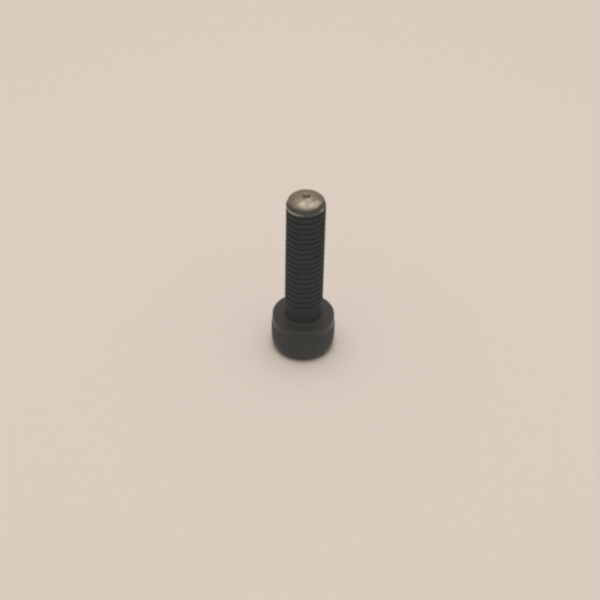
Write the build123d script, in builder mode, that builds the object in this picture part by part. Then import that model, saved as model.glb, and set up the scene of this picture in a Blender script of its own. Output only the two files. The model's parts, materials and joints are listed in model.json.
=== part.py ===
from build123d import *
import os
from math import cos, pi, radians, tan

# An M8 x 30 socket head cap screw in black steel, standing on the socket end of its head with its tip up.
# The origin is the centre of the rim that it stands on, and +Z runs along the screw's axis to the tip.
# Lengths are in millimetres and angles in degrees.

# Head
head_diameter = 13.1  # over the crests of the knurl
head_height = 8.0
rim_inset = 1.1  # how far the rounded socket end narrows
rim_rise = 3.2  # how far up the side that rounding reaches
collar_inset = 0.2  # how far the smooth band beside the bearing face lies below the knurl's crests
collar_width = 2.2
bearing_edge_bevel = 0.12

# Straight knurl
knurl_teeth = 50
knurl_depth = 0.2
knurl_crest_width = 0.2

# Hexagon socket
socket_across_flats = 6.05
socket_depth = 4.4
socket_mouth_margin = 0.1  # how far the bevel at the mouth reaches past the hexagon's corners
socket_mouth_angle = 120
socket_shoulder = 0.15  # the ledge between the flats and the pointed bottom
socket_point_angle = 140

# Shank and thread
shank_length = 29.9  # from the bearing face to the tip
thread_diameter = 7.8  # over the crests
crest_rise = 0.3  # how far rolling raised the crests above the plain neck
neck_length = 3.3
neck_fillet = 0.5
thread_runout = 1.0

# Tip
point_inset = 0.22  # the bevel on the first thread, along the radius
point_bevel_length = 0.55  # and along the axis
dome_height = 1.55
dimple_diameter = 1.9
dimple_depth = 0.28

# How far each cutting shape reaches past the surface that it cuts
cut_margin = 0.5

head_radius = head_diameter / 2
rim_radius = head_radius - rim_inset
collar_radius = head_radius - collar_inset
collar_start = head_height - collar_width
thread_radius = thread_diameter / 2
neck_radius = thread_radius - crest_rise
neck_top = head_height + neck_length
thread_start = neck_top + thread_runout
tip_height = head_height + shank_length
dome_radius = thread_radius - point_inset
dome_start = tip_height - dome_height
thread_end = dome_start - point_bevel_length

# The knurl's grooves: a ring of V cuts, whose floors rise out of the metal at the collar
knurl_root_radius = head_radius - knurl_depth
groove_reach = knurl_depth + cut_margin
groove_mouth = pi * head_diameter / knurl_teeth - knurl_crest_width
groove_half_width = groove_mouth / 2 * groove_reach / knurl_depth

with BuildPart() as knurl_grooves:
    with BuildSketch(Plane.XY.offset(-cut_margin)):
        with PolarLocations(knurl_root_radius, knurl_teeth):
            Polygon((0, 0), (groove_reach, -groove_half_width), (groove_reach, groove_half_width))
    extrude(amount=head_height + cut_margin)
    with BuildSketch(Plane.XZ):
        Polygon(
            (knurl_root_radius - cut_margin, -2 * cut_margin),
            (head_radius + 2 * cut_margin, -2 * cut_margin),
            (head_radius + 2 * cut_margin, collar_start + knurl_depth + 2 * cut_margin),
            (knurl_root_radius - cut_margin, collar_start - cut_margin),
        )
    revolve(axis=Axis.Z, mode=Mode.INTERSECT)

# The screw: a turned form with the knurl, the socket and the dimple cut into it
with BuildPart() as cap_screw:
    with BuildSketch(Plane.XZ):
        with BuildLine():
            Line((0, 0), (rim_radius, 0))
            EllipticalCenterArc((rim_radius, rim_rise), rim_inset, rim_rise, start_angle=270, arc_size=90)
            Polyline(
                (head_radius, rim_rise),
                (head_radius, collar_start - collar_inset),
                (collar_radius, collar_start),
                (collar_radius, head_height - bearing_edge_bevel),
                (collar_radius - bearing_edge_bevel, head_height),
                (neck_radius + neck_fillet, head_height),
            )
            RadiusArc((neck_radius + neck_fillet, head_height), (neck_radius, head_height + neck_fillet), neck_fillet)
            Polyline(
                (neck_radius, head_height + neck_fillet),
                (neck_radius, neck_top),
                (thread_radius, thread_start),
                (thread_radius, thread_end),
                (dome_radius, dome_start),
            )
            EllipticalCenterArc((0, dome_start), dome_radius, dome_height, start_angle=0, arc_size=90)
            Line((0, tip_height), (0, 0))
        make_face()
    revolve(axis=Axis.Z)

    add(knurl_grooves.part, mode=Mode.SUBTRACT)

    # The socket, with a bevelled mouth on the floor side and a pointed bottom
    socket_radius = socket_across_flats / 2
    socket_corner_radius = socket_radius / cos(radians(30))
    mouth_radius = socket_corner_radius + socket_mouth_margin
    point_radius = socket_radius - socket_shoulder
    with BuildSketch(Plane.XY):
        RegularPolygon(socket_radius, 6, major_radius=False)
    extrude(amount=socket_depth, mode=Mode.SUBTRACT)
    upright = (Align.CENTER, Align.CENTER, Align.MIN)
    Cone(mouth_radius, 0, mouth_radius / tan(radians(socket_mouth_angle / 2)), align=upright, mode=Mode.SUBTRACT)
    with Locations((0, 0, socket_depth)):
        Cone(point_radius, 0, point_radius / tan(radians(socket_point_angle / 2)), align=upright, mode=Mode.SUBTRACT)

    # The dimple that rolling left in the middle of the tip
    dimple_radius = (dimple_diameter**2 / 4 + dimple_depth**2) / (2 * dimple_depth)
    with Locations((0, 0, tip_height - dimple_depth + dimple_radius)):
        Sphere(dimple_radius, mode=Mode.SUBTRACT)

cap_screw.part.label = "cap_screw"
os.makedirs("parts", exist_ok=True)
export_step(cap_screw.part, "parts/cap_screw.step")
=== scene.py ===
import json
from math import ceil, cos, pi, radians, sin, sqrt, tan

import bmesh
import bpy
from mathutils import Matrix, Vector


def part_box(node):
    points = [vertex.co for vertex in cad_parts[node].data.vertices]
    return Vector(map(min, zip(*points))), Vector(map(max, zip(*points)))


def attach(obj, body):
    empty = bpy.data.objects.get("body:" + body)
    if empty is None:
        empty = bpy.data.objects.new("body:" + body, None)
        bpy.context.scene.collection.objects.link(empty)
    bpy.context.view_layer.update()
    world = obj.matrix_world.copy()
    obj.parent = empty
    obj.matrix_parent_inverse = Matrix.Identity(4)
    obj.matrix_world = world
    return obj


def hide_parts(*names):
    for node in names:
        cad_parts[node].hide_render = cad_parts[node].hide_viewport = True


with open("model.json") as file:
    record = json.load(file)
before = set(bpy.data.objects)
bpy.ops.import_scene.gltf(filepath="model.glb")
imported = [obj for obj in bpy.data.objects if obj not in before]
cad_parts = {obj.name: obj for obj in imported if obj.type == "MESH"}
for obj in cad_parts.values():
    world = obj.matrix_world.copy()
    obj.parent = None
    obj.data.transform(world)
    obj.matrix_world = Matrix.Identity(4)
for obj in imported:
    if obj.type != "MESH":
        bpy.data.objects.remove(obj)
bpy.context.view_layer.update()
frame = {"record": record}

# The head
# The head is upset from the end of a steel bar in a cold forging press: a drum with a rounded socket end,
# and a smooth collar beside the face that bears on the work. All of it is round, so one half profile says it.
mm = 0.001
mounts = {mount["name"]: mount for mount in frame["record"]["mounts"]}
head_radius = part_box("cap_screw")[1].y
head_height = mounts["bearing_face"]["pos_m"][2]
mouth_radius = 3.593 * mm
rim_inset = 1.1 * mm
rim_rise = 3.2 * mm
rim_steps = 20
collar_inset = 0.2 * mm
collar_width = 2.2 * mm
bearing_edge_bevel = 0.12 * mm
bearing_face_width = 0.8 * mm
corner_softness = 0.06 * mm
corner_steps = 4
head_columns = 600

rim_radius = head_radius - rim_inset
collar_radius = head_radius - collar_inset
collar_start = head_height - collar_width
bearing_radius = collar_radius - bearing_face_width


def circle(radius, height, columns):
    """A ring of points round the screw's axis, or the single point on it."""
    if radius == 0:
        return [(0, 0, height)]
    turns = [2 * pi * column / columns for column in range(columns)]
    return [(radius * cos(turn), radius * sin(turn), height) for turn in turns]


def quarter_turn(steps):
    """Even angles from 0 to 90 degrees."""
    return [pi / 2 * step / steps for step in range(steps + 1)]


def softened(corners):
    """The profile's points, with each corner (radius, height, softness) rounded by its softness."""
    points = []
    for index, (radius, height, softness) in enumerate(corners):
        corner = Vector((radius, height))
        if softness == 0:
            points.append(corner)
            continue
        start = corner + softness * (Vector(corners[index - 1][:2]) - corner).normalized()
        end = corner + softness * (Vector(corners[index + 1][:2]) - corner).normalized()
        for step in range(corner_steps + 1):
            share = step / corner_steps
            points.append(start.lerp(corner, share).lerp(corner.lerp(end, share), share))
    return points


def skin(name, rings):
    """A surface through rings of points.

    A ring has as many points as the one before it, a whole share of them, or a single point.
    """
    shape = bmesh.new()
    rows = [[shape.verts.new(point) for point in ring] for ring in rings]
    for row, following in zip(rows, rows[1:]):
        share = len(row) // len(following) if len(following) > 1 else 1
        for index in range(len(row) // share):
            near = [row[(share * (index + 1) - step) % len(row)] for step in range(share + 1)]
            far = [following[(index + step) % len(following)] for step in range(min(2, len(following)))]
            shape.faces.new(far + near)
    mesh = bpy.data.meshes.new(name)
    shape.to_mesh(mesh)
    shape.free()
    made = bpy.data.objects.new(name, mesh)
    bpy.context.scene.collection.objects.link(made)
    return made


rim_curve = [
    (rim_radius + rim_inset * sin(angle), rim_rise * (1 - cos(angle)), 0) for angle in quarter_turn(rim_steps)
]
head_profile = softened(
    [
        (mouth_radius, 0, 0),
        *rim_curve,
        (head_radius, collar_start - collar_inset - 2 * corner_softness, 0),
        (head_radius, collar_start - collar_inset, corner_softness),
        (collar_radius, collar_start, corner_softness),
        (collar_radius, collar_start + 2 * corner_softness, 0),
        (collar_radius, head_height - bearing_edge_bevel, corner_softness),
        (collar_radius - bearing_edge_bevel, head_height, corner_softness),
        (bearing_radius, head_height, 0),
    ]
)
head = skin("head", [circle(radius, height, head_columns) for radius, height in head_profile])

# The knurl
# A straight knurl is rolled into the head's side, so that it can be turned by hand: fifty shallow V grooves
# that fade out on the rounded rim and rise out of the metal at the collar.
knurl_teeth = 50
knurl_depth = 0.2 * mm
knurl_crest_width = 0.2 * mm
knurl_crest_softness = 0.03 * mm


class Wire:
    """A socket in a node tree. Sums on it add Math nodes, and node() adds any other kind."""

    def __init__(self, tree, socket=None):
        self.tree = tree
        self.socket = socket

    def node(self, kind, settings=(), inputs=(), output=0):
        made = self.tree.nodes.new(kind)
        for name, value in dict(settings).items():
            if name == "stops":
                while len(made.color_ramp.elements) < len(value):
                    made.color_ramp.elements.new(1)
                for stop, (position, colour) in zip(made.color_ramp.elements, value):
                    stop.position = position
                    stop.color = colour
            else:
                setattr(made, name, value)
        for name, value in dict(inputs).items():
            if isinstance(value, Wire):
                self.tree.links.new(value.socket, made.inputs[name])
            else:
                made.inputs[name].default_value = value
        return Wire(self.tree, made.outputs[output])

    def other(self, output):
        """Another output of the same node."""
        return Wire(self.tree, self.socket.node.outputs[output])

    def maths(self, operation, *others):
        """A Math node on this socket and the others."""
        return self.node("ShaderNodeMath", {"operation": operation}, enumerate((self, *others)))

    def __add__(self, value):
        return self.maths("ADD", value)

    def __sub__(self, value):
        return self.maths("SUBTRACT", value)

    def __rsub__(self, value):
        return self.node("ShaderNodeMath", {"operation": "SUBTRACT"}, {0: value, 1: self})

    def __mul__(self, value):
        return self.maths("MULTIPLY", value)

    def __truediv__(self, value):
        return self.maths("DIVIDE", value)

    def __gt__(self, value):
        return self.maths("GREATER_THAN", value)

    __radd__ = __add__
    __rmul__ = __mul__

    def eased(self, low, high):
        """0 below low, 1 above high, and a smooth rise between."""
        return self.node(
            "ShaderNodeMapRange",
            {"interpolation_type": "SMOOTHSTEP"},
            {"Value": self, "From Min": low, "From Max": high},
        )


def distance(across, along):
    """The length of a step across and along."""
    return (across * across + along * along).maths("SQRT")


def geometry_tree(name, sizes):
    """A new tree of Geometry Nodes with the named sizes as inputs, its geometry input, and their wires."""
    tree = bpy.data.node_groups.new(name, "GeometryNodeTree")
    tree.interface.new_socket("Geometry", in_out="INPUT", socket_type="NodeSocketGeometry")
    tree.interface.new_socket("Geometry", in_out="OUTPUT", socket_type="NodeSocketGeometry")
    for size in sizes:
        tree.interface.new_socket(size, in_out="INPUT", socket_type="NodeSocketFloat")
    given = tree.nodes.new("NodeGroupInput")
    wires = {size: Wire(tree, given.outputs[size]) for size in sizes}
    return tree, Wire(tree, given.outputs["Geometry"]), wires


def finish_tree(tree, shape):
    """Ends a tree in real geometry that has the screw's finish."""
    real = shape.node("GeometryNodeRealizeInstances", inputs={"Geometry": shape})
    coated = real.node("GeometryNodeSetMaterial", inputs={"Geometry": real, "Material": finish})
    tree.links.new(coated.socket, tree.nodes.new("NodeGroupOutput").inputs["Geometry"])


def grown(made, tree, sizes):
    """Runs the tree on an object, and keeps the result as the object's plain mesh."""
    modifier = made.modifiers.new(tree.name, "NODES")
    modifier.node_group = tree
    for socket in tree.interface.items_tree:
        if socket.in_out == "INPUT" and socket.name in sizes:
            modifier[socket.identifier] = sizes[socket.name]
    evaluated = made.evaluated_get(bpy.context.evaluated_depsgraph_get())
    mesh = bpy.data.meshes.new_from_object(evaluated)
    made.modifiers.remove(modifier)
    made.data = mesh


# The screw has one material. The trees set it here, and its own nodes are made with the finish, further down.
finish = bpy.data.materials.new("black_oxide_steel")
finish.use_nodes = True

groove_half_width = pi * head_radius / knurl_teeth - knurl_crest_width / 2
knurl_sizes = {
    "Teeth": knurl_teeth,
    "Root Radius": head_radius - knurl_depth,
    "Pitch": 2 * pi * head_radius / knurl_teeth,
    "Slope": knurl_depth / groove_half_width,
    "Collar Start": collar_start,
    "Softness": knurl_crest_softness,
}
knurl_tree, blank, size = geometry_tree("Straight Knurl", knurl_sizes)
place = blank.node("GeometryNodeInputPosition")
x = place.node("ShaderNodeSeparateXYZ", inputs={"Vector": place})
y = x.other("Y")
z = x.other("Z")
radius = distance(x, y)
tooth = y.maths("ARCTAN2", x) * size["Teeth"] / (2 * pi)
from_groove = (tooth - tooth.maths("ROUND")).maths("ABSOLUTE")
groove_rise = (z - size["Collar Start"]).maths("MAXIMUM", 0)
groove = size["Root Radius"] + from_groove * size["Pitch"] * size["Slope"] + groove_rise
cut = radius.maths("SMOOTH_MIN", groove, size["Softness"])
narrowing = cut / radius
grooved = place.node("ShaderNodeCombineXYZ", inputs={"X": x * narrowing, "Y": y * narrowing, "Z": z})
knurled = grooved.node("GeometryNodeSetPosition", inputs={"Geometry": blank, "Position": grooved})
finish_tree(knurl_tree, knurled)
grown(head, knurl_tree, knurl_sizes)

# The socket
# A hexagon punched into the head for a 6 mm key, with a bevel at its mouth and the shallow cone that the
# punch leaves at its bottom. It is on the floor side, so the photograph's view doesn't show it.
socket_radius = 3.025 * mm
socket_depth = 4.4 * mm
socket_shoulder = 0.15 * mm
mouth_angle = radians(120)
point_angle = radians(140)


def hexagon(height_at):
    """A ring of points on the hexagon's walls, at the height that each one's distance from the axis gives.

    Two of the hexagon's corners lie along X.
    """
    points = []
    for column in range(head_columns):
        turn = 2 * pi * column / head_columns
        from_flat = turn % (pi / 3) - pi / 6
        reach = socket_radius / cos(from_flat)
        points.append((reach * cos(turn), reach * sin(turn), height_at(reach)))
    return points


point_radius = socket_radius - socket_shoulder
point_top = socket_depth + point_radius / tan(point_angle / 2)
hex_socket = skin(
    "socket",
    [
        circle(mouth_radius, 0, head_columns),
        hexagon(lambda reach: (mouth_radius - reach) / tan(mouth_angle / 2)),
        hexagon(lambda reach: socket_depth),
        circle(point_radius, socket_depth, head_columns),
        circle(0, point_top, head_columns),
    ],
)

# The neck
# The plain stretch of the forged blank that the rolling dies don't reach. A small fillet joins it to the
# bearing face, where a sharp corner would start a crack.
thread_radius = mounts["shank"]["dims"]["r_mm"] * mm
crest_rise = 0.3 * mm
neck_length = 3.3 * mm
neck_fillet = 0.5 * mm
fillet_steps = 8
shank_columns = 120
column_change = 0.4 * mm

neck_radius = thread_radius - crest_rise
neck_top = head_height + neck_length
# Over the first stretch of the bearing face the head's columns of points thin out to the shank's.
neck_rings = [
    circle(bearing_radius, head_height, head_columns),
    circle(bearing_radius - column_change, head_height, shank_columns),
]
for angle in quarter_turn(fillet_steps):
    fillet_radius = neck_radius + neck_fillet * (1 - sin(angle))
    neck_rings.append(circle(fillet_radius, head_height + neck_fillet * (1 - cos(angle)), shank_columns))
neck_rings.append(circle(neck_radius, neck_top, shank_columns))
neck = skin("neck", neck_rings)

# The thread
# A right-hand M8 thread with the coarse 1.25 mm pitch, rolled between dies. Its crests are the metal that the
# dies pushed up. It fades out towards the neck, and its last groove runs out through the bevel of the tip.
pitch = 1.25 * mm
thread_depth = 0.767 * mm
crest_flat = 1 / 8
flank_slope = tan(radians(60))
crest_rounding = 0.08
root_rounding = 0.25
thread_runout = 1.3 * mm
thread_fade = 1.1 * mm
end_crest_widening = 0.2
front_crest = 35.96 * mm
front_turn = 0.75
point_inset = 0.22 * mm
point_bevel_length = 0.55 * mm
edge_softness = 0.05 * mm
dome_height = 1.55 * mm
tip_height = 37.9 * mm
thread_top_radius = 3.1 * mm
rows_in_pitch = 16
weld_distance = 0.0005 * mm

dome_radius = thread_radius - point_inset
dome_start = tip_height - dome_height
root_radius = thread_radius - thread_depth
thread_top = dome_start + dome_height * sqrt(1 - (thread_top_radius / dome_radius) ** 2)
turns = 2 * ceil((thread_top - neck_top) / pitch / 2 + 1)
# The crest in the middle of the sheet is the nearest whole pitch to the middle of the thread.
middle_crest = front_crest - front_turn * pitch
middle_crest += round(((thread_top + neck_top) / 2 - middle_crest) / pitch) * pitch

thread_sizes = {
    "Turns": turns,
    "Pitch": pitch,
    "Crest Radius": thread_radius,
    "Root Radius": root_radius,
    "Neck Radius": neck_radius,
    "Half Crest": crest_flat / 2,
    "End Widening": end_crest_widening,
    "Flank Rise": pitch * flank_slope / thread_depth,
    "Crest Rounding": crest_rounding,
    "Root Rounding": root_rounding,
    "Middle": middle_crest,
    "Bottom": neck_top,
    "Top": thread_top,
    "Runout": thread_runout,
    "Fade": thread_fade,
    "Bevel Slope": point_inset / point_bevel_length,
    "Dome Radius": dome_radius,
    "Dome Start": dome_start,
    "Dome Height": dome_height,
    "Softness": edge_softness,
}
# The tree makes the thread from a flat sheet, which counts turns along it and one pitch across it.
thread_tree, empty, size = geometry_tree("Rolled Thread", thread_sizes)
sheet = empty.node(
    "GeometryNodeMeshGrid",
    inputs={
        "Size X": size["Turns"],
        "Size Y": 1.0,
        "Vertices X": size["Turns"] * shank_columns + 1,
        "Vertices Y": rows_in_pitch + 1,
    },
)
place = sheet.node("GeometryNodeInputPosition")
turn = place.node("ShaderNodeSeparateXYZ", inputs={"Vector": place})
across = turn.other("Y")
height = (size["Middle"] + (turn + across) * size["Pitch"]).maths("MAXIMUM", size["Bottom"])
height = height.maths("MINIMUM", size["Top"])

# How much of the thread there is at a height, and how deep its groove is across it.
rolled = (height - size["Bottom"]).eased(0, size["Runout"])
faded = (size["Dome Start"] - height).eased(0, size["Fade"])
half_crest = size["Half Crest"] + size["End Widening"] * (1 - faded)
flank = (across.maths("ABSOLUTE") - half_crest) * size["Flank Rise"]
depth = flank.maths("SMOOTH_MAX", 0, size["Crest Rounding"]).maths("SMOOTH_MIN", 1, size["Root Rounding"])
crest = size["Neck Radius"] + (size["Crest Radius"] - size["Neck Radius"]) * rolled
root = crest + (size["Root Radius"] - crest) * rolled * faded
thread_surface = crest + (root - crest) * depth

# The bevel and the dome, which cut the thread off.
above_start = height - size["Dome Start"]
up_dome = above_start / size["Dome Height"]
on_dome = height > size["Dome Start"]
bevel = size["Dome Radius"] - above_start * size["Bevel Slope"]
dome_side = size["Dome Radius"] * (1 - up_dome * up_dome * on_dome).maths("SQRT")
envelope = bevel + (dome_side - bevel) * on_dome
radius = thread_surface.maths("SMOOTH_MIN", envelope, size["Softness"])

angle = turn * (2 * pi)
wrapped = place.node(
    "ShaderNodeCombineXYZ",
    inputs={"X": radius * angle.maths("COSINE"), "Y": radius * angle.maths("SINE"), "Z": height},
)
tube = wrapped.node("GeometryNodeSetPosition", inputs={"Geometry": sheet, "Position": wrapped})
welded = tube.node("GeometryNodeMergeByDistance", inputs={"Geometry": tube, "Distance": weld_distance})
finish_tree(thread_tree, welded)
thread = skin("thread", [])
grown(thread, thread_tree, thread_sizes)

# The tip
# The end of the blank, domed by the header, with the dimple that rolling draws into its middle.
dimple_radius = 0.95 * mm
dimple_depth = 0.28 * mm
dimple_ball = (dimple_radius**2 + dimple_depth**2) / (2 * dimple_depth)
tip_steps = 36


def tip_surface(radius):
    """The tip's height at a distance from the axis: the dome, or the dimple where that is lower."""
    dome = dome_start + dome_height * sqrt(1 - (radius / dome_radius) ** 2)
    if radius >= dimple_ball:
        return dome
    dimple = tip_height - dimple_depth + dimple_ball - sqrt(dimple_ball**2 - radius**2)
    near = max(0, edge_softness - abs(dome - dimple)) / edge_softness
    return min(dome, dimple) - near**2 * edge_softness / 4


tip_radii = [thread_top_radius * (1 - step / tip_steps) for step in range(tip_steps + 1)]
tip = skin("tip", [circle(radius, tip_surface(radius), shank_columns) for radius in tip_radii])

# The whole screw
# It is one piece of steel, so the forms above are welded into one closed skin. Its sharper edges stay crisp.
sharp_angle = radians(32)
forms = (head, hex_socket, neck, thread, tip)
whole = bmesh.new()
for form in forms:
    whole.from_mesh(form.data)
bmesh.ops.remove_doubles(whole, verts=whole.verts, dist=weld_distance)
bmesh.ops.recalc_face_normals(whole, faces=whole.faces)
screw_mesh = bpy.data.meshes.new("screw")
whole.to_mesh(screw_mesh)
whole.free()
for form in forms:
    bpy.data.objects.remove(form)
screw_mesh.shade_smooth()
screw_mesh.set_sharp_from_angle(angle=sharp_angle)
# Clearing the slots puts the faces of all the forms in the first one.
screw_mesh.materials.clear()
screw_mesh.materials.append(finish)
screw = bpy.data.objects.new("screw", screw_mesh)
bpy.context.scene.collection.objects.link(screw)
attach(screw, "root")
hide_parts("cap_screw")

# The finish
# Black oxide, with painted light deep in the thread's grooves and painted shade on their outer flanks, and a
# thin film of oil where the steel is rubbed.
# Handling has worn the dome, and two stretches of the first thread's bevel, down to bare, scuffed steel. A
# brown stain is left in the dimple, with painted shade over it that deepens towards its back.
shader = finish.node_tree.nodes["Principled BSDF"]
place = Wire(finish.node_tree).node("ShaderNodeTexCoord", output="Object")
x = place.node("ShaderNodeSeparateXYZ", inputs={"Vector": place})
y = x.other("Y")
z = x.other("Z")
radius = distance(x, y)


def mottle(scale, detail=3.0):
    """Noise from 0 to 1 with features of that many metres."""
    return place.node("ShaderNodeTexNoise", inputs={"Vector": place, "Scale": 1 / scale, "Detail": detail})


def mixed(share, low, high):
    """A colour between two others."""
    return place.node("ShaderNodeMix", {"data_type": "RGBA"}, {0: share, 6: low, 7: high}, output=2)


# The oxide's tone from place to place. Each pair is where one tone gives way to the next, in metres from the
# screw's axis or up it.
# The pale root colour is painted light that fills the shade deep in the thread's grooves. The dark flank
# colour is painted shade against the lamp's light on their outer flanks.
root_painted_light = (0.098, 0.110, 0.115, 1)
flank_painted_shade = (0.018, 0.026, 0.029, 1)
oxide_crest = (0.022, 0.030, 0.033, 1)
oxide_neck = (0.040, 0.049, 0.053, 1)
oxide_bearing = (0.037, 0.039, 0.036, 1)
# The knurl's colour is paler than the collar's: its oxide, with painted light that fills the shade in the
# knurl's grooves.
oxide_collar = (0.018, 0.025, 0.028, 1)
knurl_oxide_and_painted_light = (0.028, 0.037, 0.042, 1)
oxide_tip = (0.038, 0.031, 0.027, 1)
oxide_brown = (0.040, 0.036, 0.033, 1)
groove_light_end = (3.4 * mm, 3.85 * mm)
crest_edge = (3.78 * mm, 3.88 * mm)
fillet_start = (neck_radius + 0.03 * mm, neck_radius + 0.2 * mm)
neck_end = (neck_top + 0.2 * mm, neck_top + 0.6 * mm)
collar_edge = (collar_radius - 0.15 * mm, collar_radius)
tip_start = (36.25 * mm, 36.45 * mm)
brown_patch_size = 2.2 * mm
brown_patches = (0.5, 0.8)
brown_strength = 0.5

# Deep in the grooves the painted light gives way to the flanks' painted shade, then to the crests' oxide.
oxide = mixed(radius.eased(*groove_light_end), root_painted_light, flank_painted_shade)
oxide = mixed(radius.eased(*crest_edge), oxide, oxide_crest)
forged = mixed(radius.eased(*fillet_start), oxide_neck, oxide_bearing)
oxide = mixed(z.eased(*neck_end), forged, oxide)
oxide = mixed(radius.eased(*collar_edge), oxide, oxide_collar)
# Below the collar the knurl takes its paler colour, which holds painted light.
oxide = mixed((z - collar_start).eased(-collar_inset, 0), knurl_oxide_and_painted_light, oxide)
oxide = mixed(brown_strength * mottle(brown_patch_size).eased(*brown_patches), oxide, oxide_brown)
oxide = mixed(z.eased(*tip_start), oxide, oxide_tip)

# The dome is bare above a ragged, slightly tilted border, and a little less so beside it.
worn_height = 36.96 * mm
worn_tilt = 0.03
worn_raggedness = 0.6 * mm
worn_fade = 0.07 * mm
worn_edge_share = 0.75
worn_edge_width = 0.5 * mm
scuff_size = 0.8 * mm

scuffs = mottle(scuff_size)
inside = z + (scuffs - 0.5) * worn_raggedness - (worn_height + worn_tilt * x)
bared = worn_edge_share + (1 - worn_edge_share) * inside.eased(0, worn_edge_width)
worn_dome = inside.eased(-worn_fade, worn_fade) * bared

# The bevel on the first thread is a ring that climbs with the pitch. Its wear is given by turns round the
# screw from its left side, so that a quarter turn is its front.
front_from_left = 0.25
ring_start = (-0.46 * mm, -0.3 * mm)
ring_end = (0.04 * mm, 0.26 * mm)
wear_by_turn = (
    (0.0, 0.7),
    (0.08, 1.0),
    (0.17, 0.6),
    (0.24, 0.08),
    (0.37, 0.08),
    (0.405, 0.5),
    (0.44, 0.12),
    (0.52, 0.05),
    (0.9, 0.05),
    (1.0, 0.7),
)
thin_oxide = 0.08
thin_oxide_start = (35.7 * mm, 36.2 * mm)

turn = y.maths("ARCTAN2", x) / (2 * pi) + 0.5
above_crest = z - (front_crest + (turn - front_from_left) * pitch)
on_ring = above_crest.eased(*ring_start) * (1 - above_crest.eased(*ring_end))
wear_stops = [(around, (wear, wear, wear, 1)) for around, wear in wear_by_turn]
ring_wear = turn.node("ShaderNodeValToRGB", {"stops": wear_stops}, {"Fac": turn})
worn_ring = on_ring * ring_wear + thin_oxide * z.eased(*thin_oxide_start)
worn = worn_dome.maths("MAXIMUM", worn_ring)

# The bare steel is dull, with burnished spots. Each has its centre and its reach in millimetres, seen from
# above, and its strength.
steel_bright = (0.55, 0.495, 0.42, 1)
steel_dull = (0.262, 0.225, 0.183, 1)
# The dimple's dark colour is partly a brown stain and partly painted shade.
stained_and_shaded_steel = (0.1, 0.084, 0.06, 1)
steel_ring = (0.60, 0.62, 0.56, 1)
burnish_size = 0.7 * mm
burnish_detail = 2.0
burnish_contrast = 0.4
burnish_level = 0.24
burnish_range = (0.35, 0.75)
burnished_spots = (
    ((1.9, -2.2), 1.5, 0.16),
    ((2.5, -1.3), 1.0, 0.13),
    ((0.4, -0.85), 0.95, 0.2),
    ((-0.8, -2.0), 0.85, 0.13),
)
spot_core = 0.25
ring_steel_end = 0.2

burnish = burnish_contrast * mottle(burnish_size, burnish_detail) + burnish_level
for (spot_x, spot_y), reach, strength in burnished_spots:
    away = distance(x - spot_x * mm, y - spot_y * mm)
    burnish = burnish + strength * (1 - away.eased(spot_core * reach * mm, reach * mm))
steel = mixed(burnish.eased(*burnish_range), steel_dull, steel_bright)

# A brown stain fills the dimple, and painted shade over it deepens towards its back.
dark_dimple_half_width = 0.83 * mm
dark_dimple_half_length = 0.72 * mm
dark_dimple_offset = 0.08 * mm
dark_dimple_edge = (0.7, 1.15)
near_darkening = 0.5
painted_shade_deepening = (-0.3 * mm, 0.3 * mm)

from_dark_dimple = distance(x / dark_dimple_half_width, (y - dark_dimple_offset) / dark_dimple_half_length)
stain_and_painted_shade = (1 - from_dark_dimple.eased(*dark_dimple_edge)) * (near_darkening + (1 - near_darkening) * y.eased(*painted_shade_deepening))
steel = mixed(stain_and_painted_shade, steel, stained_and_shaded_steel)
steel = mixed(worn_dome.eased(0, ring_steel_end), steel_ring, steel)

# The surface is matt oxide, smoother and oiled where it is rubbed, and satin steel.
oxide_gloss = 0.3
oxide_roughness = 0.66
rubbed_roughness = 0.52
steel_roughness = 0.56
rubbed_edge = (3.78 * mm, 3.9 * mm)
oil_film = 0.6
oil_film_roughness = 0.35
grain_size = 0.12 * mm
grain_roughness = 0.12
scuff_height = 2
bump_strength = 0.2
bump_distance = 0.01 * mm

grain = mottle(grain_size)
rubbed = radius.eased(*rubbed_edge)
unworn_roughness = oxide_roughness - (oxide_roughness - rubbed_roughness) * rubbed + grain_roughness * grain
relief = grain + scuffs * worn * scuff_height
bump = place.node(
    "ShaderNodeBump", inputs={"Height": relief, "Strength": bump_strength, "Distance": bump_distance}
)
shader.inputs["Specular IOR Level"].default_value = oxide_gloss
shader.inputs["Coat Roughness"].default_value = oil_film_roughness
surface = {
    "Base Color": mixed(worn, oxide, steel),
    "Roughness": unworn_roughness + (steel_roughness - unworn_roughness) * worn,
    "Metallic": worn,
    "Coat Weight": oil_film * rubbed * (1 - worn),
    "Normal": bump,
}
for name, wire in surface.items():
    finish.node_tree.links.new(wire.socket, shader.inputs[name])

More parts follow.
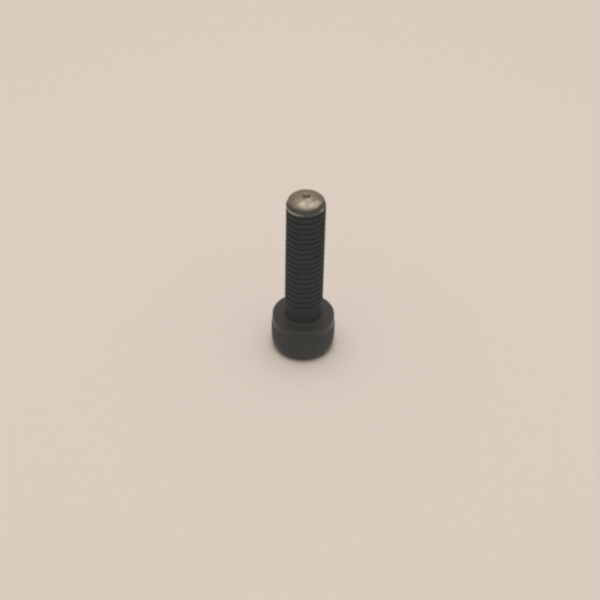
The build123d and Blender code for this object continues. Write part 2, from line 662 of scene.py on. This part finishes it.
# The floor
# A plain pale matte surface.
floor_colour = (0.747, 0.68, 0.629, 1)
floor_roughness = 0.9
floor_reach = 3.0
corners = [(side * floor_reach, end * floor_reach, 0) for side, end in ((-1, -1), (1, -1), (1, 1), (-1, 1))]
floor_mesh = bpy.data.meshes.new("floor")
floor_mesh.from_pydata(corners, [], [(0, 1, 2, 3)])
floor = bpy.data.objects.new("floor", floor_mesh)
bpy.context.scene.collection.objects.link(floor)
matte = bpy.data.materials.new("pale_matte")
matte.use_nodes = True
matte_shader = matte.node_tree.nodes["Principled BSDF"]
matte_shader.inputs["Base Color"].default_value = floor_colour
matte_shader.inputs["Roughness"].default_value = floor_roughness
matte_shader.inputs["Specular IOR Level"].default_value = 0.0
floor_mesh.materials.append(matte)

# The light
# A dim warm room that is paler near the horizon, and one broad soft lamp overhead.
room_low = (0.72, 0.625, 0.545, 1)
room_high = (0.41, 0.39, 0.355, 1)
room_stops = ((0.26, room_low), (0.45, room_high))
lamp_radius = 0.24
lamp_place = (0.0, 0.04, 0.9)
lamp_radiance = 7.6
lamp_colour = (1.0, 0.965, 0.93)

world = bpy.data.worlds.new("room")
bpy.context.scene.world = world
world.use_nodes = True
direction = Wire(world.node_tree).node("ShaderNodeTexCoord")
up = direction.node("ShaderNodeSeparateXYZ", inputs={"Vector": direction}, output="Z")
room = up.node("ShaderNodeValToRGB", {"stops": room_stops}, {"Fac": up})
world.node_tree.links.new(room.socket, world.node_tree.nodes["Background"].inputs["Color"])
lamp_data = bpy.data.lights.new("overhead", "AREA")
lamp_data.shape = "DISK"
lamp_data.size = 2 * lamp_radius
lamp_data.energy = lamp_radiance * (pi * lamp_radius) ** 2
lamp_data.color = lamp_colour
lamp = bpy.data.objects.new("overhead", lamp_data)
lamp.location = lamp_place
lamp.rotation_euler = Vector(lamp_place).to_track_quat("Z", "Y").to_euler()
bpy.context.scene.collection.objects.link(lamp)

# The camera
# It looks down at the screw from the front, as the photograph does, and is as soft as the photograph.
camera_place = (-0.762 * mm, -211.46 * mm, 196.22 * mm)
camera_tilt = radians(90 - 41.15)
camera_roll = radians(1.295)
sensor_width_mm = 36
lens_mm = 82.62
near_clip = 10 * mm
pixel_softness = 2.4

camera_data = bpy.data.cameras.new("camera")
camera_data.sensor_width = sensor_width_mm
camera_data.lens = lens_mm
camera_data.clip_start = near_clip
camera = bpy.data.objects.new("camera", camera_data)
tilted = Matrix.Translation(camera_place) @ Matrix.Rotation(camera_tilt, 4, "X")
camera.matrix_world = tilted @ Matrix.Rotation(camera_roll, 4, "Z")
bpy.context.scene.collection.objects.link(camera)
bpy.context.scene.camera = camera
bpy.context.scene.view_settings.view_transform = "Standard"
bpy.context.scene.cycles.filter_width = pixel_softness
